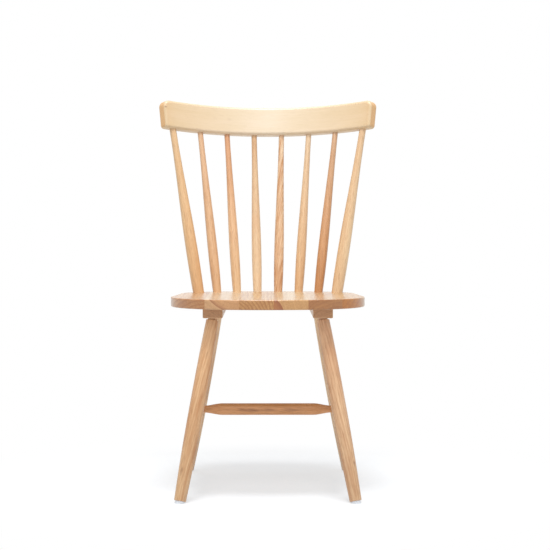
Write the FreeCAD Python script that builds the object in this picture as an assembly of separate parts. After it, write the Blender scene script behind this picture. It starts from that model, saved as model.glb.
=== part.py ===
import FreeCAD, Part
import math
import os

Vector = FreeCAD.Vector

# A spindle-back side chair in solid wood. All sizes are in millimetres.
# X runs to the right as the chair is seen from the front, Y runs back and Z runs up from the floor.
# While the chair is built, Y is measured from the middle of the seat's front edge. At the end the
# whole chair is moved along Y, so that its origin lies on the floor under the middle of its box.

# Seat: a flat board glued up from staves that run front to back, with a shallow dish
seat_height = 440.0
seat_width = 440.0
seat_depth = 440.0
seat_thickness = 22.0
seat_front_radius = 430.0
seat_front_corner_radius = 160.0
seat_side_taper = 5.5
seat_back_corner_radius = 110.0
seat_back_radius = 480.0
seat_top_round = 2.5
seat_bottom_round = 3.0
dish_radius = 160.0
dish_depth = 3.5
dish_setback = 215.0
dish_lip = 4.0
dish_lip_slope = 1.0
stave_count = 6
stave_width = 75.6
first_glue_line = -138.4

# Battens: two blocks screwed under the seat, front to back, that hold the legs
batten_spacing = 243.0
batten_width = 44.0
batten_height = 20.5
batten_front_inset = 47.0
batten_back_inset = 63.0
batten_round = 2.5

# Legs: turned, splayed sideways and front to back, and cut square to their own axis at both ends
leg_end_inset = 25.0
leg_shoulder_radius = 14.1
leg_belly_radius = 16.5
leg_foot_radius = 13.2
leg_foot_chamfer = 1.0
leg_tenon_radius = 10.5
leg_shoulder_gap = 2.6
foot_height = 4.2
front_leg_spread = 69.2
rear_leg_spread = 73.0
front_leg_kick = 86.0
rear_leg_kick = 84.0

# Stretchers: turned bars with long tapered ends, one along each side and one across between them
stretcher_height = 178.0
stretcher_radius = 13.5
stretcher_tenon_radius = 8.0
stretcher_taper_length = 44.0
leg_mortise_depth = 17.0
cross_mortise_depth = 12.0

# Spindles: turned rods that fan out from the seat to the crest rail, the outer two thicker
spindle_count = 8
back_rise = 380.6
back_lean = 13.5
outer_foot_inset = 54.5
middle_foot_inset = 30.0
foot_line_bow = 51.0
spindle_top_step = 7.85
post_top_step = 8.35
seat_socket_floor = 7.5
rail_socket_depth = 25.0
spindle_foot_radius = 10.1
spindle_belly_radius = 11.7
spindle_top_radius = 6.6
post_foot_radius = 13.2
post_belly_radius = 14.2
post_top_radius = 8.0
belly_share = 0.22
slender_share = 0.97

# Crest rail: a bowed board that leans back, with rounded upper corners
rail_corner_width = 540.5
rail_height = 69.5
rail_thickness = 26.0
rail_front_radius = 480.0
rail_tilt = 13.0
rail_end_lean = 6.5
rail_end_turn = 11.0
rail_top_corner_radius = 16.0
rail_bottom_corner_radius = 8.5
rail_edge_round = 7.0
rail_half_sweep = 40.0

# Glides: plastic pads nailed under the feet, wedge-shaped so that they lie flat on the floor
glide_radius = 10.5
glide_edge_round = 0.8
nail_radius = 1.3
nail_length = 18.0
nail_head_radius = 3.4
nail_head_thickness = 1.2
nail_head_recess = 1.7

# Screws: countersunk, up through the battens into the seat
screws_per_batten = 3
screw_end_inset = 62.0
screw_radius = 2.2
screw_bite = 14.0
screw_head_radius = 4.2
screw_head_height = 2.6
screw_head_recess = 0.8

# Fits: clearance round a glued tenon, round a nail or screw, and past the end of either
glue_gap = 0.05
pin_gap = 0.05
end_gap = 1.0
head_gap = 0.2
tenon_chamfer = 1.0
surface_margin = 0.5

# Sizes that follow from those above
seat_bottom = seat_height - seat_thickness
batten_bottom = seat_bottom - batten_height
batten_front = batten_front_inset
batten_back = seat_depth - batten_back_inset
rail_back_radius = rail_front_radius + rail_thickness
rail_mid_radius = rail_front_radius + rail_thickness / 2
far = 1000.0
touch = 0.05

# Turns the seam of each turned surface away from the holes that are bored in it
seam_turn = 50.0


def solid_between(low, high):
    """A box between two opposite corners."""
    size = high - low
    return Part.makeBox(size.x, size.y, size.z, low)


def stand(shape, foot, direction):
    """A copy of a shape that was built up the Z axis, set on foot and pointing along direction."""
    turn = FreeCAD.Rotation(Vector(0, 0, 1), direction)
    placed = shape.copy()
    placed.Placement = FreeCAD.Placement(foot, turn)
    return placed


def rod(radius, low, high):
    """A plain round rod on the Z axis from one height to another."""
    return Part.makeCylinder(radius, high - low, Vector(0, 0, low))


def straight(*points):
    """Straight edges from point to point of a turned outline, each given as (radius, height)."""
    corners = [Vector(radius, 0, height) for radius, height in points]
    return [Part.makeLine(start, end) for start, end in zip(corners, corners[1:])]


def smooth(*stations):
    """One smooth curve of a turned outline, through stations given as (radius, height, is_level).
    At a level station the curve runs along the axis."""
    points = [Vector(radius, 0, height) for radius, height, is_level in stations]
    levels = [is_level for radius, height, is_level in stations]
    curve = Part.BSplineCurve()
    curve.interpolate(Points=points, Tangents=[Vector(0, 0, 1)] * len(points), TangentFlags=levels)
    return [curve.toShape()]


def turned(outline):
    """The solid that a turned outline makes about the Z axis. Its ends are flat."""
    corners = sorted((vertex.Point for edge in outline for vertex in edge.Vertexes), key=lambda p: p.z)
    foot, top = corners[0], corners[-1]
    axis_foot, axis_top = Vector(0, 0, foot.z), Vector(0, 0, top.z)
    closing = [
        Part.makeLine(top, axis_top),
        Part.makeLine(axis_top, axis_foot),
        Part.makeLine(axis_foot, foot),
    ]
    face = Part.Face(Part.Wire(Part.__sortEdges__(outline + closing)))
    solid = Part.Solid(face.revolve(Vector(0, 0, 0), Vector(0, 0, 1), 360))
    solid.rotate(Vector(0, 0, 0), Vector(0, 0, 1), seam_turn)
    return solid


def tilt_of(direction):
    """The angle between a direction and straight up, in radians."""
    return direction.getAngle(Vector(0, 0, 1))


def at_height(foot, direction, height):
    """The point where a line through foot reaches a height."""
    return foot + direction * ((height - foot.z) / direction.z)


# The seat


def seat_outline():
    """The seat's outline in plan: tangent arcs and straight sides, from the front round to the back."""
    taper = math.radians(seat_side_taper)
    outward = Vector(math.cos(taper), math.sin(taper), 0)
    backward = Vector(-math.sin(taper), math.cos(taper), 0)
    front_centre = Vector(0, seat_front_radius, 0)
    back_centre = Vector(0, seat_depth - seat_back_radius, 0)
    corner_x = seat_width / 2 - seat_front_corner_radius
    reach = seat_front_radius - seat_front_corner_radius
    front_corner = Vector(corner_x, seat_front_radius - math.sqrt(reach ** 2 - corner_x ** 2), 0)
    side_offset = outward.dot(front_corner) + seat_front_corner_radius
    corner_offset = side_offset - seat_back_corner_radius
    reach = seat_back_radius - seat_back_corner_radius
    across = outward.dot(back_centre) - corner_offset
    along = backward.dot(back_centre) + math.sqrt(reach ** 2 - across ** 2)
    back_corner = outward * corner_offset + backward * along

    def on_arc(centre, radius, heading):
        return centre + Vector(heading).normalize() * radius

    front_end = on_arc(front_centre, seat_front_radius, front_corner - front_centre)
    side_front = on_arc(front_corner, seat_front_corner_radius, outward)
    side_back = on_arc(back_corner, seat_back_corner_radius, outward)
    back_end = on_arc(back_centre, seat_back_radius, back_corner - back_centre)
    front_heading = (front_end - front_corner).normalize() + outward
    front_middle = on_arc(front_corner, seat_front_corner_radius, front_heading)
    back_heading = (back_end - back_corner).normalize() + outward
    back_middle = on_arc(back_corner, seat_back_corner_radius, back_heading)
    half = [
        Part.Arc(front_end, front_middle, side_front).toShape(),
        Part.makeLine(side_front, side_back),
        Part.Arc(side_back, back_middle, back_end).toShape(),
    ]

    def flipped(point):
        return Vector(-point.x, point.y, 0)

    front = Part.Arc(flipped(front_end), Vector(0, 0, 0), front_end).toShape()
    back = Part.Arc(back_end, Vector(0, seat_depth, 0), flipped(back_end)).toShape()
    other_half = [edge.mirror(Vector(0, 0, 0), Vector(1, 0, 0)) for edge in half]
    return Part.Wire(Part.__sortEdges__([front, back] + half + other_half))


def dish():
    """What the dish takes out of the seat's top: a shallow round hollow with a soft lip."""
    slope = math.tan(math.radians(dish_lip_slope))
    middle = Vector(0, 0, -dish_depth)
    rim = Vector(dish_radius + dish_lip, 0, dish_lip * slope)
    curve = Part.BSplineCurve()
    curve.interpolate([middle, rim], InitialTangent=Vector(1, 0, 0), FinalTangent=Vector(1, 0, slope))
    above = seat_thickness
    corner = Vector(rim.x, 0, above)
    edges = [
        curve.toShape(),
        Part.makeLine(rim, corner),
        Part.makeLine(corner, Vector(0, 0, above)),
        Part.makeLine(Vector(0, 0, above), middle),
    ]
    face = Part.Face(Part.Wire(edges))
    hollow = Part.Solid(face.revolve(Vector(0, 0, 0), Vector(0, 0, 1), 360))
    hollow.translate(Vector(0, dish_setback, seat_height))
    return hollow


def seat_board():
    """The whole seat before its holes are bored."""
    outline = seat_outline()
    outline.translate(Vector(0, 0, seat_bottom))
    board = Part.Face(outline).extrude(Vector(0, 0, seat_thickness))
    level_edges = {seat_height: [], seat_bottom: []}
    for edge in board.Edges:
        for height, edges in level_edges.items():
            if all(abs(vertex.Point.z - height) < touch for vertex in edge.Vertexes):
                edges.append(edge)
    board = board.makeFillet(seat_top_round, level_edges[seat_height])
    lower_edges = []
    for edge in board.Edges:
        if edge.BoundBox.ZMax < seat_bottom + touch:
            lower_edges.append(edge)
    board = board.makeFillet(seat_bottom_round, lower_edges)
    return board.cut(dish())


def staves(board):
    """The seat's staves, cut from the finished board along its glue lines, from left to right."""
    lines = [first_glue_line + stave_width * number for number in range(stave_count - 1)]
    edges = [-far] + lines + [far]
    pieces = {}
    for number, (left, right) in enumerate(zip(edges, edges[1:]), start=1):
        slab = solid_between(Vector(left, -far, 0), Vector(right, far, far))
        pieces[f"seat_stave_{number}"] = board.common(slab)
    return pieces


# The spindles and their sockets


def is_post(number):
    """Whether a spindle, counted from 0 at the left, is one of the two thicker outer posts."""
    return number in (0, spindle_count - 1)


def foot_points():
    """Where the spindles' axes meet the seat's top, on a bowed line, from left to right."""
    half_spread = seat_width / 2 - outer_foot_inset
    radius = (half_spread ** 2 + foot_line_bow ** 2) / (2 * foot_line_bow)
    centre = seat_depth - middle_foot_inset - radius
    outer_angle = math.asin(half_spread / radius)
    points = []
    for number in range(spindle_count):
        angle = outer_angle * (2 * number / (spindle_count - 1) - 1)
        points.append(Vector(radius * math.sin(angle), centre + radius * math.cos(angle), seat_height))
    return points


def rail_placement():
    """Where the crest rail's own frame stands. It was built about the axis of its bow."""
    lean = math.tan(math.radians(back_lean))
    base = Vector(0, seat_depth - middle_foot_inset + back_rise * lean, seat_height + back_rise)
    turn = FreeCAD.Rotation(Vector(1, 0, 0), -rail_tilt)
    return FreeCAD.Placement(base - turn.multVec(Vector(0, rail_mid_radius, 0)), turn)


def top_points():
    """Where the spindles' axes meet the crest rail's underside, from left to right."""
    placement = rail_placement()
    points = []
    for number in range(spindle_count):
        steps = number - (spindle_count - 1) / 2
        angle = spindle_top_step * steps
        if is_post(number):
            angle += math.copysign(post_top_step - spindle_top_step, steps)
        turn = math.radians(angle)
        local = Vector(rail_mid_radius * math.sin(turn), rail_mid_radius * math.cos(turn), 0)
        points.append(placement.multVec(local))
    return points


class Spindle:
    """One spindle's place and its three radii. The outer two are the thicker posts."""

    def __init__(self, number, foot, top):
        thick = is_post(number)
        self.foot_radius = post_foot_radius if thick else spindle_foot_radius
        self.belly_radius = post_belly_radius if thick else spindle_belly_radius
        self.top_radius = post_top_radius if thick else spindle_top_radius
        self.direction = (top - foot).normalize()
        self.free_length = (top - foot).Length
        self.foot = foot
        self.tilt = tilt_of(self.direction)
        self.foot_depth = (seat_thickness - seat_socket_floor) / math.cos(self.tilt)

    def solid(self):
        """The turned rod, from its foot in the seat to its end in the rail."""
        base = -self.foot_depth
        surface = self.foot_radius * math.tan(self.tilt) + surface_margin
        belly = self.free_length * belly_share
        slender = self.free_length * slender_share
        bend_radius = (self.belly_radius + self.top_radius) / 2
        end = self.free_length + rail_socket_depth
        outline = straight(
            (self.foot_radius - tenon_chamfer, base),
            (self.foot_radius, base + tenon_chamfer),
            (self.foot_radius, surface),
        )
        outline += smooth(
            (self.foot_radius, surface, False),
            (self.belly_radius, belly, True),
            (bend_radius, (belly + slender) / 2, False),
            (self.top_radius, slender, True),
        )
        outline += straight(
            (self.top_radius, slender),
            (self.top_radius, end - tenon_chamfer),
            (self.top_radius - tenon_chamfer, end),
        )
        return stand(turned(outline), self.foot, self.direction)

    def seat_socket(self):
        """The hole that the spindle's foot needs in the seat."""
        hole = rod(self.foot_radius + glue_gap, -self.foot_depth - end_gap, seat_thickness)
        return stand(hole, self.foot, self.direction)

    def rail_socket(self):
        """The hole that the spindle's upper end needs in the rail."""
        low = self.free_length - rail_thickness
        high = self.free_length + rail_socket_depth + end_gap
        return stand(rod(self.top_radius + glue_gap, low, high), self.foot, self.direction)


def spindles():
    """All the spindles, from left to right."""
    places = zip(foot_points(), top_points())
    return [Spindle(number, foot, top) for number, (foot, top) in enumerate(places)]


# The crest rail


def distance_from_bow_axis(point):
    """How far a point of the rail lies from the axis of its bow, in the rail's own frame."""
    return math.hypot(point.x, point.y)


def rail_end_cut(side):
    """What is cut away past one end of the rail. The end leans out towards the top, and is turned
    from radial about its back corner, so that it faces more to the front."""
    angle = math.asin(rail_corner_width / 2 / rail_back_radius)
    back_corner = Vector(rail_back_radius * math.sin(angle), rail_back_radius * math.cos(angle), 0)
    beyond = solid_between(Vector(0, -far, -far), Vector(far, far, far))
    beyond.rotate(Vector(0, 0, rail_height), Vector(0, 1, 0), rail_end_lean)
    beyond.rotate(Vector(0, 0, 0), Vector(0, 0, 1), -math.degrees(angle))
    beyond.rotate(back_corner, Vector(0, 0, 1), -rail_end_turn)
    if side < 0:
        beyond = beyond.mirror(Vector(0, 0, 0), Vector(1, 0, 0))
    return beyond


def crest_rail(sockets):
    """The crest rail: a bowed board with rounded corners and edges, bored for the spindles."""
    section = Part.makePolygon([
        Vector(0, rail_front_radius, 0),
        Vector(0, rail_back_radius, 0),
        Vector(0, rail_back_radius, rail_height),
        Vector(0, rail_front_radius, rail_height),
        Vector(0, rail_front_radius, 0),
    ])
    section.rotate(Vector(0, 0, 0), Vector(0, 0, 1), -rail_half_sweep)
    rail = Part.Face(section).revolve(Vector(0, 0, 0), Vector(0, 0, 1), 2 * rail_half_sweep)
    for side in (1, -1):
        rail = rail.cut(rail_end_cut(side))
    corners = {rail_height: [], 0.0: []}
    for edge in rail.Edges:
        near, away = (distance_from_bow_axis(vertex.Point) for vertex in edge.Vertexes)
        if abs(near - away) > rail_thickness / 2:
            height = edge.Vertexes[0].Point.z
            corners[rail_height if height > rail_height / 2 else 0.0].append(edge)
    rail = rail.makeFillet(rail_top_corner_radius, corners[rail_height])
    lower = []
    for edge in rail.Edges:
        if edge.BoundBox.ZMax < touch and len(edge.Vertexes) == 2:
            near, away = (distance_from_bow_axis(vertex.Point) for vertex in edge.Vertexes)
            if abs(near - away) > rail_thickness / 2:
                lower.append(edge)
    rail = rail.makeFillet(rail_bottom_corner_radius, lower)
    rims = []
    for edge in rail.Edges:
        points = edge.discretize(5)
        for radius in (rail_front_radius, rail_back_radius):
            if all(abs(distance_from_bow_axis(point) - radius) < touch for point in points):
                rims.append(edge)
    rail = rail.makeFillet(rail_edge_round, rims)
    rail.Placement = rail_placement().multiply(rail.Placement)
    for socket in sockets:
        rail = rail.cut(socket)
    return rail


# The battens and their screws


def screw_heights():
    """The heights at which a screw starts, spreads under its head, and ends."""
    start = batten_bottom + screw_head_recess
    return start, start + screw_head_height, seat_bottom + screw_bite


def screw_points():
    """Where the screws stand in plan, both battens."""
    first = batten_front + screw_end_inset
    last = batten_back - screw_end_inset
    step = (last - first) / (screws_per_batten - 1)
    points = []
    for side in (-1, 1):
        for number in range(screws_per_batten):
            points.append(Vector(side * batten_spacing / 2, first + step * number, 0))
    return points


def screw_form(gap, below, above):
    """A countersunk screw on the Z axis. Wider by a gap and longer by below and above, it is the hole
    for that screw."""
    start, neck, end = screw_heights()
    points = [
        (screw_head_radius + gap, start),
        (screw_radius + gap, neck),
        (screw_radius + gap, end + above),
    ]
    if below > 0:
        points.insert(0, (screw_head_radius + gap, start - below))
    return turned(straight(*points))


def batten(side, legs):
    """One batten, bored for its two legs and its screws."""
    left = side * batten_spacing / 2 - batten_width / 2
    block = solid_between(
        Vector(left, batten_front, batten_bottom),
        Vector(left + batten_width, batten_back, seat_bottom),
    )
    rounded = []
    for edge in block.Edges:
        if edge.BoundBox.ZMin < seat_bottom - touch:
            rounded.append(edge)
    block = block.makeFillet(batten_round, rounded)
    for leg in legs:
        block = block.cut(leg.batten_hole())
    for point in screw_points():
        if point.x * side > 0:
            hole = screw_form(pin_gap, screw_head_recess + end_gap, end_gap)
            hole.translate(point)
            block = block.cut(hole)
    return block


# The legs, their glides and nails


class Leg:
    """One leg's place: its foot's middle and the direction of its axis, upwards."""

    def __init__(self, side, is_front):
        spread = front_leg_spread if is_front else rear_leg_spread
        kick = -front_leg_kick if is_front else rear_leg_kick
        top_y = batten_front + leg_end_inset if is_front else batten_back - leg_end_inset
        top_x = batten_spacing / 2
        top = Vector(side * top_x, top_y, batten_bottom)
        self.side = side
        self.foot = Vector(side * (top_x + spread), top_y + kick, foot_height)
        self.direction = (top - self.foot).normalize()
        self.length = (top - self.foot).Length
        self.tilt = tilt_of(self.direction)
        self.floor = -foot_height / math.cos(self.tilt)

    def stretcher_point(self):
        """Where the leg's axis reaches the stretchers' height."""
        return at_height(self.foot, self.direction, stretcher_height)

    def solid(self, mortise):
        """The turned leg, with its tenon cut level with the batten's top."""
        belly = (stretcher_height - foot_height) / math.cos(self.tilt)
        shoulder = self.length - leg_shoulder_radius * math.tan(self.tilt) - leg_shoulder_gap
        tenon_end = self.length + 2 * batten_height
        outline = straight(
            (leg_foot_radius - leg_foot_chamfer, 0),
            (leg_foot_radius, leg_foot_chamfer),
        )
        outline += smooth(
            (leg_foot_radius, leg_foot_chamfer, False),
            (leg_belly_radius, belly, True),
            (leg_shoulder_radius, shoulder, False),
        )
        outline += straight(
            (leg_shoulder_radius, shoulder),
            (leg_tenon_radius, shoulder),
            (leg_tenon_radius, tenon_end),
        )
        leg = stand(turned(outline), self.foot, self.direction)
        above = solid_between(Vector(-far, -far, seat_bottom - glue_gap), Vector(far, far, far))
        nail_hole = rod(nail_radius + pin_gap, -end_gap, self.nail_top() + end_gap)
        leg = leg.cut(above)
        leg = leg.cut(stand(nail_hole, self.foot, self.direction))
        return leg.cut(mortise)

    def batten_hole(self):
        """The hole for the leg's tenon, right through the batten."""
        hole = rod(leg_tenon_radius + glue_gap, self.length - batten_height, self.length + 2 * batten_height)
        return stand(hole, self.foot, self.direction)

    def nail_top(self):
        """How far up the leg's axis its nail reaches."""
        return self.floor + nail_head_recess + nail_length

    def nail(self):
        """The nail that holds the glide, its head sunk in the glide."""
        head = self.floor + nail_head_recess
        nail = turned(straight(
            (nail_head_radius, head),
            (nail_head_radius, head + nail_head_thickness),
            (nail_radius, head + nail_head_thickness),
            (nail_radius, self.nail_top()),
        ))
        return stand(nail, self.foot, self.direction)

    def glide(self):
        """The plastic pad between the foot and the floor."""
        head_top = self.floor + nail_head_recess + nail_head_thickness
        below = self.floor - glide_radius
        pad = rod(glide_radius, below, 0)
        pad = pad.cut(rod(nail_radius + pin_gap, below, end_gap))
        pad = pad.cut(rod(nail_head_radius + head_gap, below, head_top + pin_gap))
        pad = stand(pad, self.foot, self.direction)
        pad = pad.cut(solid_between(Vector(-far, -far, -far), Vector(far, far, 0)))
        rim = []
        for edge in pad.Edges:
            box = edge.BoundBox
            if box.ZMax < touch and box.XLength > glide_radius:
                rim.append(edge)
        return pad.makeFillet(glide_edge_round, rim)


# The stretchers


def stretcher(start, end, crown, depth, tilt):
    """A turned bar between two axes, which lean by tilt. Each axis has wood round it out to crown,
    and the bar's tenons reach depth into that wood."""
    direction = (end - start).normalize()
    length = (end - start).Length
    low = crown - depth
    high = length - low
    neck = crown / math.cos(tilt) + stretcher_tenon_radius * math.tan(tilt) + surface_margin
    body = neck + stretcher_taper_length
    outline = straight(
        (stretcher_tenon_radius - tenon_chamfer, low),
        (stretcher_tenon_radius, low + tenon_chamfer),
        (stretcher_tenon_radius, neck),
    )
    outline += smooth((stretcher_tenon_radius, neck, False), (stretcher_radius, body, True))
    outline += straight((stretcher_radius, body), (stretcher_radius, length - body))
    outline += smooth((stretcher_radius, length - body, True), (stretcher_tenon_radius, length - neck, False))
    outline += straight(
        (stretcher_tenon_radius, length - neck),
        (stretcher_tenon_radius, high - tenon_chamfer),
        (stretcher_tenon_radius - tenon_chamfer, high),
    )
    return stand(turned(outline), start, direction)


def mortise(start, direction, crown, depth):
    """The hole for a stretcher's tenon that leaves an axis at start along direction."""
    hole = rod(stretcher_tenon_radius + glue_gap, crown - depth - end_gap, 2 * crown)
    return stand(hole, start, direction)


def underframe():
    """The legs with their glides and nails, the battens and the stretchers, by name."""
    pieces = {}
    nails = []
    middles = {}
    for side_name, side in (("left", -1), ("right", 1)):
        front = Leg(side, True)
        rear = Leg(side, False)
        start = front.stretcher_point()
        end = rear.stretcher_point()
        backward = (end - start).normalize()
        middle = (start + end) * 0.5
        middles[side] = middle
        across = Vector(-side, 0, 0)
        tilt = max(front.tilt, rear.tilt)
        bar = stretcher(start, end, leg_belly_radius, leg_mortise_depth, tilt)
        cross_hole = mortise(middle, across, stretcher_radius, cross_mortise_depth)
        pieces[f"{side_name}_side_stretcher"] = bar.cut(cross_hole)
        pieces[f"{side_name}_batten"] = batten(side, (front, rear))
        for place, leg, heading in (("front", front, backward), ("rear", rear, backward * -1)):
            hole = mortise(leg.stretcher_point(), heading, leg_belly_radius, leg_mortise_depth)
            pieces[f"{place}_{side_name}_leg"] = leg.solid(hole)
            pieces[f"{place}_{side_name}_glide"] = leg.glide()
            nails.append(leg.nail())
    pieces["cross_stretcher"] = stretcher(
        middles[-1], middles[1], stretcher_radius, cross_mortise_depth, 0.0
    )
    pieces["glide_nails"] = Part.makeCompound(nails)
    return pieces


def batten_screws():
    """All the screws, as one group."""
    screws = []
    for point in screw_points():
        screw = screw_form(0, 0, 0)
        screw.translate(point)
        screws.append(screw)
    return Part.makeCompound(screws)


def chair():
    """Every piece of the chair by name, before it is moved to its origin."""
    rods = spindles()
    board = seat_board()
    for spindle in rods:
        board = board.cut(spindle.seat_socket())
    for point in screw_points():
        hole = screw_form(pin_gap, 0, end_gap)
        hole.translate(point)
        board = board.cut(hole)
    pieces = staves(board)
    for number, spindle in enumerate(rods, start=1):
        pieces[f"spindle_{number}"] = spindle.solid()
    pieces["crest_rail"] = crest_rail([spindle.rail_socket() for spindle in rods])
    pieces.update(underframe())
    pieces["batten_screws"] = batten_screws()
    return pieces


def main():
    pieces = chair()
    box = Part.makeCompound(list(pieces.values())).optimalBoundingBox(False, False)
    to_origin = Vector(0, -(box.YMin + box.YMax) / 2, 0)
    os.makedirs("parts", exist_ok=True)
    for name, piece in pieces.items():
        piece.translate(to_origin)
        piece.exportStep(f"parts/{name}.step")
    print(f"width {box.XLength:.1f}, depth {box.YLength:.1f}, height {box.ZLength:.1f}")
    print(f"the seat's front edge is at y = {to_origin.y:.2f}, lowest point at z = {box.ZMin:.3f}")


main()
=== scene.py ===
import math

import bpy
from mathutils import Euler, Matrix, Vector

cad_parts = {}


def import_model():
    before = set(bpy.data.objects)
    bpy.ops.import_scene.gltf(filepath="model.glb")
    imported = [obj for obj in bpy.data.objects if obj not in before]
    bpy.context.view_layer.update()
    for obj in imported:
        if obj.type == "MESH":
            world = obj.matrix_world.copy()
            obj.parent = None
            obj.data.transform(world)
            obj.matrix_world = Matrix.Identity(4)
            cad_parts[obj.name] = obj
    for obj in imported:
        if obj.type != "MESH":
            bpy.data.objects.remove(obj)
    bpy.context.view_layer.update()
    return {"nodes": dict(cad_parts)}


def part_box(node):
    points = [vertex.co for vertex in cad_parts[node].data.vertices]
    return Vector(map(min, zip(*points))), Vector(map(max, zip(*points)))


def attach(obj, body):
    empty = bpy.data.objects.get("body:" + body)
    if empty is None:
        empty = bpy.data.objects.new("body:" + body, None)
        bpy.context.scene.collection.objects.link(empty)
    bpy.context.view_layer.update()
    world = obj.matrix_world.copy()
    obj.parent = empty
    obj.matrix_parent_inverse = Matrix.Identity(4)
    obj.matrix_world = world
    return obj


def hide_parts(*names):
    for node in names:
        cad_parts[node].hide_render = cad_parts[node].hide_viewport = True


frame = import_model()
nodes = frame["nodes"]

# A spindle-back side chair in clear-lacquered rubberwood, with nylon glides under its feet.
# Blender works in metres. Sizes of the grain are in millimetres, and MM turns them into metres.
MM = 0.001

# Camera: where it stood, how far it was turned and tipped, and how long its lens is for its sensor
CAMERA_PLACE = Vector((0.0, -3.7508, 0.616))
CAMERA_TIP = math.radians(1.986)
CAMERA_TURN = math.radians(0.255)
LENS_MM = 105.71
SENSOR_MM = 36.0

# Light: the world's strength, then each soft box by name, with its place, size and power in watts
WORLD_STRENGTH = 0.58
SOFT_BOXES = (
    ("rear left", Vector((-0.4, 0.9, 4.8)), 0.6, 20.0),
    ("front left", Vector((-0.4, -1.2, 4.8)), 0.8, 68.0),
    ("front right", Vector((0.35, -1.1, 4.8)), 0.8, 68.0),
    ("front", Vector((-0.1, -3.0, 4.2)), 1.6, 50.0),
)
AIM_POINT = Vector((0.0, 0.0, 0.5))

# Floor: its size, and how much of what the camera sees of it is plain white, near and far
FLOOR_SIZE = 60.0
NEAR_WHITE_SHARE = 0.55
NEAR_REACH = 0.22
FAR_REACH = 0.8
PLAIN_WHITE = (1.0, 1.0, 1.0, 1.0)

# Crest rail: the axis of its bow, the bow's middle radius and the rail's tilt
BOW_AXIS_POINT = Vector((0.0, -0.2298, 0.9315))
BOW_RADIUS = 0.493
BOW_TILT = math.radians(-13.0)

# How much of a long piece's length counts as one of its ends
END_PART = 0.06

# Pieces whose grain runs out to one side, and by how many degrees
SLANTS = {
    "spindle_5": 9.0,
    "spindle_7": -4.0,
    "front_left_leg": 3.5,
    "front_right_leg": -3.0,
}

# Figure of the wood: the size of each feature across the grain, across it the other way, and along it,
# in mm. Fibre is really 1 mm wide or less, and pores are 0.2 mm wide and 3 mm long. They are drawn
# coarser, so that they show.
WANDER_SIZE = (45, 45, 260)
CLOUD_SIZE = (40, 40, 130)
STREAK_SIZE = (5, 5, 160)
FIBRE_SIZE = (2.6, 2.6, 38)
PORE_SIZE = (1.6, 1.6, 18)

# How much each feature adds to the wood's tone, which goes from 0 for light to 1 for dark
BAND_SHARE = 0.9
FIBRE_SHARE = 1.3
STREAK_SHARE = 1.0
CLOUD_SHARE = 0.8
MEAN_TONE = 0.45

# Colours of small features, and the tint of end grain on turned pieces
HEART_EDGE_COLOUR = "84482A"
PORE_COLOUR = "8A5E3E"
MARK_COLOUR = "7B4A2C"
TURNED_END_TINT = "D8C4AC"


def colour(text):
    """The linear colour of an sRGB hex value."""
    channels = [int(text[start:start + 2], 16) / 255 for start in (0, 2, 4)]
    linear = [c / 12.92 if c <= 0.04045 else ((c + 0.055) / 1.055) ** 2.4 for c in channels]
    return (*linear, 1.0)


# Building with nodes


def add(tree, kind, inputs=None, **settings):
    """Adds a node. Its inputs are values or sockets by name or number, its settings are its own."""
    node = tree.nodes.new(kind)
    for name, value in settings.items():
        setattr(node, name, value)
    for key, value in (inputs or {}).items():
        if isinstance(value, bpy.types.NodeSocket):
            tree.links.new(value, node.inputs[key])
        else:
            node.inputs[key].default_value = value
    return node


def worked_out(tree, operation, *values, **settings):
    """What one math node makes of its values."""
    return add(tree, "ShaderNodeMath", dict(enumerate(values)), operation=operation, **settings).outputs[0]


def vector_from(tree, operation, *vectors):
    """The vector that one vector math node makes."""
    return add(tree, "ShaderNodeVectorMath", dict(enumerate(vectors)), operation=operation).outputs[0]


def number_from(tree, operation, *vectors):
    """The number that one vector math node makes."""
    node = add(tree, "ShaderNodeVectorMath", dict(enumerate(vectors)), operation=operation)
    return node.outputs["Value"]


def mixed(tree, share, first, second, blend="MIX"):
    """The first colour with a share of the second mixed or multiplied into it."""
    inputs = {0: share, 6: first, 7: second}
    return add(tree, "ShaderNodeMix", inputs, data_type="RGBA", blend_type=blend).outputs[2]


def ramped(tree, value, low, high, start=0.0, end=1.0, interpolation="SMOOTHSTEP"):
    """A number that goes from start to end while the value goes from low to high."""
    inputs = {"Value": value, "From Min": low, "From Max": high, "To Min": start, "To Max": end}
    return add(tree, "ShaderNodeMapRange", inputs, interpolation_type=interpolation).outputs["Result"]


def own_place(tree):
    """The place of each point of a piece, in metres."""
    return add(tree, "ShaderNodeTexCoord").outputs["Object"]


def place_from(tree, location, rotation, scale):
    """The place of each point of a piece, seen from another origin, turn and scale."""
    return add(tree, "ShaderNodeMapping", {
        "Vector": own_place(tree),
        "Location": location,
        "Rotation": rotation,
        "Scale": scale,
    }, vector_type="TEXTURE").outputs[0]


def new_material(name):
    """An empty material with its node tree."""
    material = bpy.data.materials.new(name)
    material.use_nodes = True
    material.node_tree.nodes.clear()
    return material, material.node_tree


def surface(tree, inputs):
    """Ends a material with a Principled shader."""
    shader = add(tree, "ShaderNodeBsdfPrincipled", inputs)
    add(tree, "ShaderNodeOutputMaterial", {"Surface": shader.outputs[0]})


def wear(piece, material):
    """Puts one material on a whole piece."""
    piece.data.materials.clear()
    piece.data.materials.append(material)


# Wood grain


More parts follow.
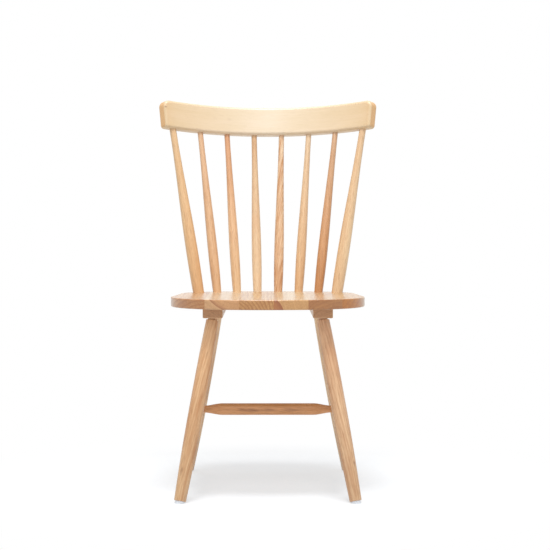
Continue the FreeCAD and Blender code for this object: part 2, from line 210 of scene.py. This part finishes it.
def grain_group():
    """The grain of all the chair's wood, as one node group. Its vector is in millimetres, with Z along
    the grain and the tree's pith on the Z axis, so that growth rings lie round it."""
    group = bpy.data.node_groups.new("Rubberwood grain", "ShaderNodeTree")
    sockets = (
        ("Vector", "NodeSocketVector"),
        ("End", "NodeSocketFloat"),
        ("Light", "NodeSocketColor"),
        ("Dark", "NodeSocketColor"),
        ("End Tint", "NodeSocketColor"),
        ("Ring Width", "NodeSocketFloat"),
        ("Ring Depth", "NodeSocketFloat"),
        ("Heart Radius", "NodeSocketFloat"),
        ("Heart Tint", "NodeSocketColor"),
        ("Wander", "NodeSocketVector"),
        ("Pore Depth", "NodeSocketFloat"),
        ("Length", "NodeSocketFloat"),
        ("Low Tint", "NodeSocketColor"),
        ("High Tint", "NodeSocketColor"),
    )
    for name, kind in sockets:
        group.interface.new_socket(name, in_out="INPUT", socket_type=kind)
    group.interface.new_socket("Colour", in_out="OUTPUT", socket_type="NodeSocketColor")
    group.interface.new_socket("Height", in_out="OUTPUT", socket_type="NodeSocketFloat")
    given = add(group, "NodeGroupInput").outputs

    def noise(size, detail):
        """A noise whose patches have this size along each axis."""
        scaled = vector_from(group, "MULTIPLY", given["Vector"], tuple(1 / length for length in size))
        return add(group, "ShaderNodeTexNoise", {"Vector": scaled, "Scale": 1.0, "Detail": detail}).outputs

    # The trunk isn't quite straight: its rings wander by a few millimetres over a hand's breadth
    centred = vector_from(group, "SUBTRACT", noise(WANDER_SIZE, 2.0)["Color"], (0.5, 0.5, 0.5))
    moved = vector_from(group, "MULTIPLY_ADD", centred, given["Wander"], given["Vector"])
    flat = vector_from(group, "MULTIPLY", moved, (1, 1, 0))
    radius = number_from(group, "LENGTH", flat)

    # Each ring ends in a line of darker late wood, and some rings are darker than others
    rings = worked_out(group, "DIVIDE", radius, given["Ring Width"])
    late_wood = worked_out(group, "POWER", worked_out(group, "FRACT", rings), 3.0)
    band_inputs = {"W": rings, "Scale": 0.55, "Detail": 2.0}
    band = add(group, "ShaderNodeTexNoise", band_inputs, noise_dimensions="1D").outputs["Fac"]

    # The tone adds up the rings, the fibre, streaks as long as a hand, and soft clouds
    fibre = noise(FIBRE_SIZE, 4.0)["Fac"]
    streak = noise(STREAK_SIZE, 2.0)["Fac"]
    cloud = noise(CLOUD_SIZE, 1.0)["Fac"]
    features = (
        (band, BAND_SHARE),
        (fibre, FIBRE_SHARE),
        (streak, STREAK_SHARE),
        (cloud, CLOUD_SHARE),
    )
    tone = worked_out(group, "MULTIPLY", late_wood, given["Ring Depth"])
    for part, share in features:
        away = worked_out(group, "SUBTRACT", part, 0.5)
        tone = worked_out(group, "ADD", tone, worked_out(group, "MULTIPLY", away, share))
    tone = worked_out(group, "ADD", tone, MEAN_TONE, use_clamp=True)
    wood = mixed(group, tone, given["Light"], given["Dark"])

    # The colour is multiplied by a tint that runs from the low tint at the start of the grain to the high
    # tint at the given length, or from the middle of the crest rail's bow to its ends. On the crest rail
    # this is painted shade that darkens both ends
    along = add(group, "ShaderNodeSeparateXYZ", {0: given["Vector"]}).outputs["Z"]
    reach = worked_out(group, "ABSOLUTE", along)
    shade_and_tint_share = worked_out(group, "DIVIDE", reach, given["Length"], use_clamp=True)
    shade_and_tint = mixed(group, shade_and_tint_share, given["Low Tint"], given["High Tint"])
    wood = mixed(group, 1.0, wood, shade_and_tint, "MULTIPLY")

    # Heartwood near the pith has its own tint, and is darkest just inside its edge. It shows most on ends
    inside = worked_out(group, "SUBTRACT", given["Heart Radius"], radius)
    shown = worked_out(group, "MULTIPLY_ADD", given["End"], 0.65, 0.35)
    heart = worked_out(group, "MULTIPLY", ramped(group, inside, -0.8, 0.8), shown)
    wood = mixed(group, heart, wood, given["Heart Tint"], "MULTIPLY")
    edge = worked_out(group, "MULTIPLY", heart, ramped(group, inside, 0.5, 10.0, 0.5, 0.0))
    wood = mixed(group, edge, wood, colour(HEART_EDGE_COLOUR))

    # End grain takes its own tint
    wood = mixed(group, given["End"], wood, given["End Tint"], "MULTIPLY")

    # Pores are dark and sunk, and the fibre stands up a little
    pore = ramped(group, noise(PORE_SIZE, 2.0)["Fac"], 0.52, 0.70)
    pore_share = worked_out(group, "MULTIPLY", pore, given["Pore Depth"])
    wood = mixed(group, pore_share, wood, colour(PORE_COLOUR))
    height = worked_out(group, "SUBTRACT", fibre, pore)
    add(group, "NodeGroupOutput", {"Colour": wood, "Height": height})
    return group


GRAIN = grain_group()


def axis_of(name):
    """The middle of a long piece's lower end and the direction of its grain, upwards or backwards."""
    points = [vertex.co for vertex in nodes[name].data.vertices]
    low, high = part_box(name)
    size = high - low
    along = max(range(3), key=lambda number: size[number])
    reach = size[along] * END_PART

    def middle(chosen):
        return sum(chosen, Vector()) / len(chosen)

    start = middle([point for point in points if point[along] < low[along] + reach])
    end = middle([point for point in points if point[along] > high[along] - reach])
    slant = Euler((0.0, math.radians(SLANTS.get(name, 0.0)), 0.0)).to_matrix()
    return start, slant @ (end - start).normalized()


def turned_to(direction):
    """The turn that takes Z to a direction."""
    return direction.to_track_quat("Z", "Y")


def straight_grain(tree, start, direction, pith):
    """Coordinates for grain that runs straight. The pith lies at an offset across the grain, in mm."""
    turn = turned_to(direction)
    offset = turn @ Vector((pith[0], pith[1], 0.0)) * MM
    return place_from(tree, start + offset, turn.to_euler(), (MM, MM, MM))


def bowed_grain(tree, pith):
    """Coordinates for the crest rail, whose grain follows its bow."""
    centred = place_from(tree, BOW_AXIS_POINT, Euler((BOW_TILT, 0.0, 0.0)), (MM, MM, MM))
    parts = add(tree, "ShaderNodeSeparateXYZ", {0: centred}).outputs
    flat = vector_from(tree, "MULTIPLY", centred, (1, 1, 0))
    reach = number_from(tree, "LENGTH", flat)
    angle = worked_out(tree, "ARCTAN2", parts["X"], parts["Y"])
    along = worked_out(tree, "MULTIPLY", angle, BOW_RADIUS / MM)
    joined = add(tree, "ShaderNodeCombineXYZ", {0: reach, 1: parts["Z"], 2: along}).outputs[0]
    offset = Vector((BOW_RADIUS / MM + pith[0], pith[1], 0.0))
    return vector_from(tree, "SUBTRACT", joined, offset)


def end_share(tree, direction, low, high):
    """How far a surface is end grain: where it faces along the grain by more than low, up to high."""
    normal = add(tree, "ShaderNodeNewGeometry").outputs["Normal"]
    facing = number_from(tree, "DOT_PRODUCT", normal, direction)
    return ramped(tree, worked_out(tree, "ABSOLUTE", facing), low, high)


def marked(tree, base, direction, marks):
    """Base colour with knots and mineral streaks. Each is given as its place in mm, its size across and
    along the grain in mm, and how dark it is."""
    for place, across, along, depth in marks:
        scale = (across * MM, across * MM, along * MM)
        vector = place_from(tree, Vector(place) * MM, turned_to(direction).to_euler(), scale)
        ragged = add(tree, "ShaderNodeTexNoise", {"Vector": vector, "Scale": 1.6, "Detail": 2.0})
        reach = number_from(tree, "LENGTH", vector)
        edge = worked_out(tree, "ADD", reach, ragged.outputs["Fac"])
        base = mixed(tree, ramped(tree, edge, 0.55, 1.5, depth, 0.0), base, colour(MARK_COLOUR))
    return base


def lacquered(tree, base, height, coat):
    """Satin clear lacquer over wood: a soft sheen that follows the fibre a little. Where the coat is
    thicker, the surface looks paler from low down."""
    bump = add(tree, "ShaderNodeBump", {"Height": height, "Strength": 0.10, "Distance": 0.2 * MM})
    surface(tree, {
        "Base Color": base,
        "Roughness": ramped(tree, height, 0.0, 1.0, 0.36, 0.46, "LINEAR"),
        "IOR": 1.5,
        "Coat Weight": coat,
        "Coat Roughness": 0.25,
        "Normal": bump.outputs[0],
    })


def rubberwood(name, grain, light, dark, pith, end_tint=TURNED_END_TINT, ring_width=4.0, ring_depth=0.35,
               heart_radius=0.0, heart_tint="FFFFFF", wander=16.0, pore_depth=0.3, coat=0.15, length=400.0,
               low_tint="FFFFFF", high_tint="FFFFFF", end_range=(0.6, 0.95), marks=()):
    """Clear-lacquered rubberwood for one piece: pale tan with fine short pores and weak growth rings.
    The grain is the place where it starts and its direction. Without a place it follows the crest's bow.
    The pith is how far the tree's middle lies from that place, across the grain in mm."""
    material, tree = new_material(f"lacquered rubberwood, {name.replace('_', ' ')}")
    start, direction = grain
    if start is None:
        vector = bowed_grain(tree, pith)
    else:
        vector = straight_grain(tree, start, direction, pith)
    wood = add(tree, "ShaderNodeGroup", {
        "Vector": vector,
        "End": end_share(tree, direction, *end_range),
        "Light": colour(light),
        "Dark": colour(dark),
        "End Tint": colour(end_tint),
        "Ring Width": ring_width,
        "Ring Depth": ring_depth,
        "Heart Radius": heart_radius,
        "Heart Tint": colour(heart_tint),
        "Wander": (wander, wander, 0.0),
        "Pore Depth": pore_depth,
        "Length": length,
        "Low Tint": colour(low_tint),
        "High Tint": colour(high_tint),
    }, node_tree=GRAIN)
    base = marked(tree, wood.outputs["Colour"], direction, marks)
    lacquered(tree, base, wood.outputs["Height"], coat)
    wear(nodes[name], material)


# The wooden pieces


def seat():
    """Six staves from different boards, each with its own rings on the front edge."""
    backward = Vector((0.0, 1.0, 0.0))
    boards = (
        dict(light="C49E74", dark="A97C53", end_tint="F6DBB6", pith=(-40, -60), ring_width=9.0,
             ring_depth=0.9),
        dict(light="D0B694", dark="B79974", end_tint="FDE0C2", pith=(-38, 72), ring_width=9.0,
             ring_depth=0.3, heart_radius=90.0, heart_tint="FFF6EC", wander=2.0),
        dict(light="CFAC77", dark="A97B4B", end_tint="F6DEBF", pith=(66, -41), ring_width=7.5,
             ring_depth=1.1),
        dict(light="CFB58C", dark="B8966B", end_tint="FFE1BC", pith=(60.1, -23.5), ring_width=7.0,
             ring_depth=0.25, heart_radius=45.0, heart_tint="DCB8A2", wander=4.0),
        dict(light="C7A678", dark="B1885D", end_tint="DDB58A", pith=(-30, -75), ring_width=8.0,
             ring_depth=0.5),
        dict(light="C39E6B", dark="AA7D4C", end_tint="F6C264", pith=(60, 50), ring_width=11.0,
             ring_depth=0.5),
    )
    for number, board in enumerate(boards, start=1):
        name = f"seat_stave_{number}"
        low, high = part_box(name)
        start = Vector(((low.x + high.x) / 2, low.y, (low.z + high.z) / 2))
        rubberwood(name, (start, backward), end_range=(0.1, 0.5), coat=0.8, **board)


def spindles():
    """Eight turned spindles, each from its own board: light and dark wood, then low and high tints."""
    tones = (
        ("E2BD92", "D1A67B", "FFF6E6", "FBFFFF"),
        ("E2B892", "D1A27B", "FFFFF5", "F9FDFF"),
        ("F0D1A6", "E0B88B", "FFFFFF", "E1C3BA"),
        ("F1DAB4", "E4C099", "FFFFFF", "DFCEBF"),
        ("EED0AF", "C28B5F", "FFFAF0", "FBFFFF"),
        ("E4C6A4", "D3AE89", "FFF2DD", "FCFFFF"),
        ("D5AE8B", "BF9470", "FBE0B9", "FFFFFF"),
        ("E8C89D", "D7AF84", "FFFFFF", "F2EFF0"),
    )
    for number, (light, dark, low_tint, high_tint) in enumerate(tones, start=1):
        name = f"spindle_{number}"
        side = -1 if number % 2 else 1
        pith = (side * (20.0 + 6.0 * number), 45.0 - 7.0 * number)
        rubberwood(name, axis_of(name), light, dark, pith=pith, ring_width=3.5, low_tint=low_tint,
                   high_tint=high_tint)


def crest_rail():
    """The palest board of the chair, with a knot near its left end. Its ends show end grain, and its high
    tint paints shade onto both ends of the bow, so that they are darker than its middle.
    """
    sideways = Vector((1.0, 0.0, 0.0))
    marks = (
        ((-247.6, 182.9, 888.9), 3.5, 5.0, 0.6),
        ((-94.3, 236.9, 860.8), 6.0, 12.0, 0.08),
    )
    # The high tint F4E7D2 is painted shade that darkens both ends of the rail
    rubberwood("crest_rail", (None, sideways), "E3D1B9", "DDCAAC", end_tint="FFE9D0", high_tint="F4E7D2",
               length=280.0, pith=(-90.0, 20.0), ring_width=6.0, ring_depth=0.2, end_range=(0.45, 0.65),
               pore_depth=0.06, marks=marks)


def battens():
    """Two blocks whose sawn front ends show end grain."""
    piths = {
        "left_batten": (30, -40),
        "right_batten": (-35, -45),
    }
    for name, pith in piths.items():
        rubberwood(name, axis_of(name), "E4C09A", "C39C72", end_tint="D9C1AD", pith=pith, ring_width=5.0,
                   ring_depth=0.3)


def legs():
    """Four turned legs. Each front leg has a knot. The rear legs are painted paler than the front legs:
    painted light that lifts them out of the shade they stand in behind the front legs.
    """
    left_knot = ((-187.3, -263.3, 70.7), 5.0, 14.0, 0.45)
    right_knot = ((187.9, -257.8, 86.0), 4.5, 8.0, 0.6)
    boards = {
        "front_left_leg": dict(light="E3B789", dark="C0885A", low_tint="ECF2F5", marks=(left_knot,),
                               pith=(50, 30)),
        "front_right_leg": dict(light="DEBC93", dark="BA8C65", low_tint="FEFFFF", high_tint="FFF1EE",
                                marks=(right_knot,), pith=(-46, 34)),
        # The rear legs' paler colours are painted light against the shade behind the front legs
        "rear_left_leg": dict(light="F8D6A9", dark="D2A476", pith=(40, -30)),
        "rear_right_leg": dict(light="FADCB0", dark="D6AA7C", pith=(-40, -30)),
    }
    for name, board in boards.items():
        rubberwood(name, axis_of(name), ring_width=5.0, **board)


def stretchers():
    """Three turned bars. The cross stretcher is the reddest, with dark mineral streaks."""
    streaks = (
        ((-57.8, -52.0, 177.9), 4.5, 20.0, 0.6),
        ((-35.0, -52.0, 176.4), 5.5, 26.0, 0.65),
        ((2.0, -52.0, 177.8), 4.5, 24.0, 0.6),
        ((55.0, -52.0, 177.4), 5.0, 30.0, 0.5),
    )
    boards = {
        "left_side_stretcher": dict(light="DCAE80", dark="C4925F"),
        "right_side_stretcher": dict(light="D8A878", dark="BE8C5E"),
        "cross_stretcher": dict(light="DCA06D", dark="C68954", marks=streaks),
    }
    for name, board in boards.items():
        rubberwood(name, axis_of(name), pith=(34, 26), **board)


# Plastic and metal


def fine_noise(tree, scale, detail):
    """A noise that is the same all over a piece."""
    inputs = {"Vector": own_place(tree), "Scale": scale, "Detail": detail}
    return add(tree, "ShaderNodeTexNoise", inputs).outputs["Fac"]


def moulded_nylon():
    """Moulded white nylon: a soft sheen over a surface that is very slightly uneven."""
    material, tree = new_material("moulded white nylon")
    uneven = fine_noise(tree, 900.0, 2.0)
    bump = add(tree, "ShaderNodeBump", {"Height": uneven, "Strength": 0.15, "Distance": 0.1 * MM})
    surface(tree, {
        "Base Color": mixed(tree, uneven, colour("EDEFF2"), colour("E0E4EA")),
        "Roughness": 0.45,
        "IOR": 1.53,
        "Normal": bump.outputs[0],
    })
    return material


def zinc_plate():
    """Bright zinc plating on steel: a cool grey that is slightly mottled."""
    material, tree = new_material("zinc-plated steel")
    mottle = fine_noise(tree, 700.0, 3.0)
    surface(tree, {
        "Base Color": mixed(tree, mottle, colour("C9CCD0"), colour("AEB3B8")),
        "Metallic": 1.0,
        "Roughness": ramped(tree, mottle, 0.0, 1.0, 0.26, 0.42, "LINEAR"),
    })
    return material


def glides():
    """The four pads under the feet."""
    nylon = moulded_nylon()
    for place in ("front_left", "front_right", "rear_left", "rear_right"):
        wear(nodes[f"{place}_glide"], nylon)


def screw_tree():
    """Countersunk screws with a cross recess and a thread, in rows. A screw's head faces down."""
    tree = bpy.data.node_groups.new("batten screws", "GeometryNodeTree")
    sockets = (
        ("Head Radius", "NodeSocketFloat"),
        ("Head Height", "NodeSocketFloat"),
        ("Recess", "NodeSocketVector"),
        ("Shank Radius", "NodeSocketFloat"),
        ("Shank Start", "NodeSocketFloat"),
        ("Shank Length", "NodeSocketFloat"),
        ("Core Radius", "NodeSocketFloat"),
        ("Core Length", "NodeSocketFloat"),
        ("Tip Start", "NodeSocketFloat"),
        ("Tip Length", "NodeSocketFloat"),
        ("Thread Start", "NodeSocketFloat"),
        ("Thread Radius", "NodeSocketFloat"),
        ("Thread Turns", "NodeSocketFloat"),
        ("Thread Length", "NodeSocketFloat"),
        ("Columns", "NodeSocketInt"),
        ("Rows", "NodeSocketInt"),
        ("Width", "NodeSocketFloat"),
        ("Depth", "NodeSocketFloat"),
        ("Middle", "NodeSocketVector"),
        ("Material", "NodeSocketMaterial"),
    )
    for name, kind in sockets:
        tree.interface.new_socket(name, in_out="INPUT", socket_type=kind)
    tree.interface.new_socket("Geometry", in_out="OUTPUT", socket_type="NodeSocketGeometry")
    given = add(tree, "NodeGroupInput").outputs

    def up_by(geometry, height):
        place = add(tree, "ShaderNodeCombineXYZ", {"Z": height}).outputs[0]
        return add(tree, "GeometryNodeTransform", {"Geometry": geometry, "Translation": place}).outputs[0]

    def tapered(low_radius, high_radius, height):
        return add(tree, "GeometryNodeMeshCone", {
            "Vertices": 32,
            "Radius Bottom": low_radius,
            "Radius Top": high_radius,
            "Depth": height,
        }).outputs["Mesh"]

    # The head has its cross cut into it, one arm a little deeper than the other
    blank = tapered(given["Head Radius"], given["Shank Radius"], given["Head Height"])
    arm = add(tree, "GeometryNodeMeshCube", {"Size": given["Recess"]}).outputs["Mesh"]
    crossing = add(tree, "GeometryNodeTransform", {
        "Geometry": arm,
        "Rotation": (0.0, 0.0, math.pi / 2),
        "Scale": (1.0, 1.0, 0.95),
    }).outputs[0]
    head = add(tree, "GeometryNodeMeshBoolean", {"Mesh 1": blank, "Mesh 2": arm}, operation="DIFFERENCE")
    tree.links.new(crossing, head.inputs["Mesh 2"])

    # The shank starts inside the head, the core inside the shank, and the tip inside the core
    shank = tapered(given["Shank Radius"], given["Shank Radius"], given["Shank Length"])
    core = tapered(given["Core Radius"], given["Core Radius"], given["Core Length"])
    tip = tapered(given["Core Radius"], 0.1 * MM, given["Tip Length"])

    # The thread is a three-sided ridge wound round the core
    coil = add(tree, "GeometryNodeCurveSpiral", {
        "Resolution": 24,
        "Rotations": given["Thread Turns"],
        "Start Radius": given["Core Radius"],
        "End Radius": given["Core Radius"],
        "Height": given["Thread Length"],
    }).outputs["Curve"]
    ridge_inputs = {"Resolution": 3, "Radius": given["Thread Radius"]}
    ridge = add(tree, "GeometryNodeCurvePrimitiveCircle", ridge_inputs).outputs["Curve"]
    thread = add(tree, "GeometryNodeCurveToMesh", {
        "Curve": coil,
        "Profile Curve": ridge,
        "Fill Caps": True,
    }).outputs["Mesh"]

    # The parts join as closed shells, each lifted to its own height
    screw = add(tree, "GeometryNodeJoinGeometry", {0: head.outputs["Mesh"]})
    lifts = (
        (shank, "Shank Start"),
        (core, "Thread Start"),
        (tip, "Tip Start"),
        (thread, "Thread Start"),
    )
    for part, start in lifts:
        tree.links.new(up_by(part, given[start]), screw.inputs[0])

    # Each screw was driven home at its own turn
    places = add(tree, "GeometryNodeMeshGrid", {
        "Size X": given["Width"],
        "Size Y": given["Depth"],
        "Vertices X": given["Columns"],
        "Vertices Y": given["Rows"],
    }).outputs["Mesh"]
    turns = add(tree, "FunctionNodeRandomValue", data_type="FLOAT_VECTOR")
    turns.inputs["Min"].default_value = (0.0, 0.0, 0.0)
    turns.inputs["Max"].default_value = (0.0, 0.0, math.pi)
    turns.inputs["Seed"].default_value = 3
    screws = add(tree, "GeometryNodeInstanceOnPoints", {
        "Points": places,
        "Instance": screw.outputs[0],
        "Rotation": turns.outputs[0],
    }).outputs["Instances"]
    placed = add(tree, "GeometryNodeTransform", {
        "Geometry": screws,
        "Translation": given["Middle"],
    }).outputs[0]
    real = add(tree, "GeometryNodeRealizeInstances", {"Geometry": placed}).outputs[0]
    plated = add(tree, "GeometryNodeSetMaterial", {
        "Geometry": real,
        "Material": given["Material"],
    }).outputs[0]
    add(tree, "NodeGroupOutput", {"Geometry": plated})
    return tree


def grown(name, tree, values):
    """A plain mesh object made by a Geometry Nodes tree from named values."""
    host = bpy.data.objects.new(name, bpy.data.meshes.new(name))
    bpy.context.scene.collection.objects.link(host)
    modifier = host.modifiers.new(name, "NODES")
    modifier.node_group = tree
    for socket in tree.interface.items_tree:
        if socket.in_out == "INPUT":
            modifier[socket.identifier] = values[socket.name]
    shaped = host.evaluated_get(bpy.context.evaluated_depsgraph_get())
    mesh = bpy.data.meshes.new_from_object(shaped)
    host.modifiers.remove(modifier)
    host.data = mesh

    # The mesh primitives leave an empty material slot in front of the real one
    while mesh.materials and mesh.materials[0] is None:
        mesh.materials.pop(index=0)
    return host


def batten_screws(zinc):
    """Six screws in two rows, in place of the plain ones: 4.4 mm across, with 8.4 mm heads."""
    low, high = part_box("batten_screws")
    head_radius = 4.2 * MM
    length = high.z - low.z
    piece = grown("cross_head_screws", screw_tree(), {
        "Head Radius": head_radius,
        "Head Height": 2.6 * MM,
        "Recess": Vector((0.9, 4.8, 3.4)) * MM,
        "Shank Radius": 2.2 * MM,
        "Shank Start": 2.2 * MM,
        "Shank Length": 12.0 * MM,
        "Core Radius": 1.65 * MM,
        "Core Length": length - 16.0 * MM,
        "Tip Start": length - 3.4 * MM,
        "Tip Length": 3.4 * MM,
        "Thread Start": 13.0 * MM,
        "Thread Radius": 0.5 * MM,
        "Thread Turns": 8.0,
        "Thread Length": length - 17.0 * MM,
        "Columns": 2,
        "Rows": 3,
        "Width": high.x - low.x - 2 * head_radius,
        "Depth": high.y - low.y - 2 * head_radius,
        "Middle": Vector(((low.x + high.x) / 2, (low.y + high.y) / 2, low.z)),
        "Material": zinc,
    })
    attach(piece, "root")
    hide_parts("batten_screws")


def fixings():
    """The screws under the battens and the nails in the glides."""
    zinc = zinc_plate()
    batten_screws(zinc)
    wear(nodes["glide_nails"], zinc)


# Floor, light and camera


def floor_material():
    """A pale matt floor that the camera sees mixed with plain white, and all white further off. From
    below it is clear."""
    material, tree = new_material("pale floor")
    path = add(tree, "ShaderNodeLightPath").outputs
    matt = add(tree, "ShaderNodeBsdfDiffuse", {"Color": colour("EBEFF4")})
    white = add(tree, "ShaderNodeEmission", {"Color": PLAIN_WHITE, "Strength": 1.0})
    seen = worked_out(tree, "MAXIMUM", path["Is Camera Ray"], path["Is Glossy Ray"])
    away = number_from(tree, "LENGTH", own_place(tree))
    plain = ramped(tree, away, NEAR_REACH, FAR_REACH, NEAR_WHITE_SHARE, 1.0)
    share = worked_out(tree, "MULTIPLY", seen, plain)
    top = add(tree, "ShaderNodeMixShader", {0: share, 1: matt.outputs[0], 2: white.outputs[0]})
    below = add(tree, "ShaderNodeNewGeometry").outputs["Backfacing"]
    clear = add(tree, "ShaderNodeBsdfTransparent")
    both = add(tree, "ShaderNodeMixShader", {0: below, 1: top.outputs[0], 2: clear.outputs[0]})
    add(tree, "ShaderNodeOutputMaterial", {"Surface": both.outputs[0]})
    return material


def floor():
    """The floor that the chair stands on."""
    half = FLOOR_SIZE / 2
    corners = [(-half, -half, 0), (half, -half, 0), (half, half, 0), (-half, half, 0)]
    mesh = bpy.data.meshes.new("floor")
    mesh.from_pydata(corners, [], [(0, 1, 2, 3)])
    ground = bpy.data.objects.new("floor", mesh)
    bpy.context.scene.collection.objects.link(ground)
    wear(ground, floor_material())


def world():
    """Soft white light from all round. The camera, gloss and glass see it as plain white."""
    surroundings = bpy.data.worlds.new("studio")
    surroundings.use_nodes = True
    bpy.context.scene.world = surroundings
    tree = surroundings.node_tree
    tree.nodes.clear()
    path = add(tree, "ShaderNodeLightPath").outputs
    direct = worked_out(tree, "MAXIMUM", path["Is Camera Ray"], path["Is Glossy Ray"])
    seen = worked_out(tree, "MAXIMUM", direct, path["Is Transmission Ray"])
    light = add(tree, "ShaderNodeBackground", {"Color": colour("FDFEFF"), "Strength": WORLD_STRENGTH})
    white = add(tree, "ShaderNodeBackground", {"Color": PLAIN_WHITE, "Strength": 1.0})
    both = add(tree, "ShaderNodeMixShader", {0: seen, 1: light.outputs[0], 2: white.outputs[0]})
    add(tree, "ShaderNodeOutputWorld", {"Surface": both.outputs[0]})


def lamp(name, place, size, power):
    """A square soft box that faces the chair."""
    data = bpy.data.lights.new(name, "AREA")
    data.size = size
    data.energy = power
    soft_box = bpy.data.objects.new(name, data)
    soft_box.location = place
    soft_box.rotation_euler = (AIM_POINT - place).to_track_quat("-Z", "Y").to_euler()
    bpy.context.scene.collection.objects.link(soft_box)


def camera():
    """The photograph's camera: between the heights of the seat and the crest rail, tipped down a little."""
    data = bpy.data.cameras.new("camera")
    data.lens = LENS_MM
    data.sensor_width = SENSOR_MM
    data.sensor_fit = "HORIZONTAL"
    view = bpy.data.objects.new("camera", data)
    view.location = CAMERA_PLACE
    view.rotation_euler = (math.pi / 2 - CAMERA_TIP, 0.0, -CAMERA_TURN)
    bpy.context.scene.collection.objects.link(view)
    bpy.context.scene.camera = view


bpy.context.scene.view_settings.view_transform = "Standard"
camera()
floor()
world()
for soft_box in SOFT_BOXES:
    lamp(*soft_box)
seat()
spindles()
crest_rail()
battens()
legs()
stretchers()
glides()
fixings()
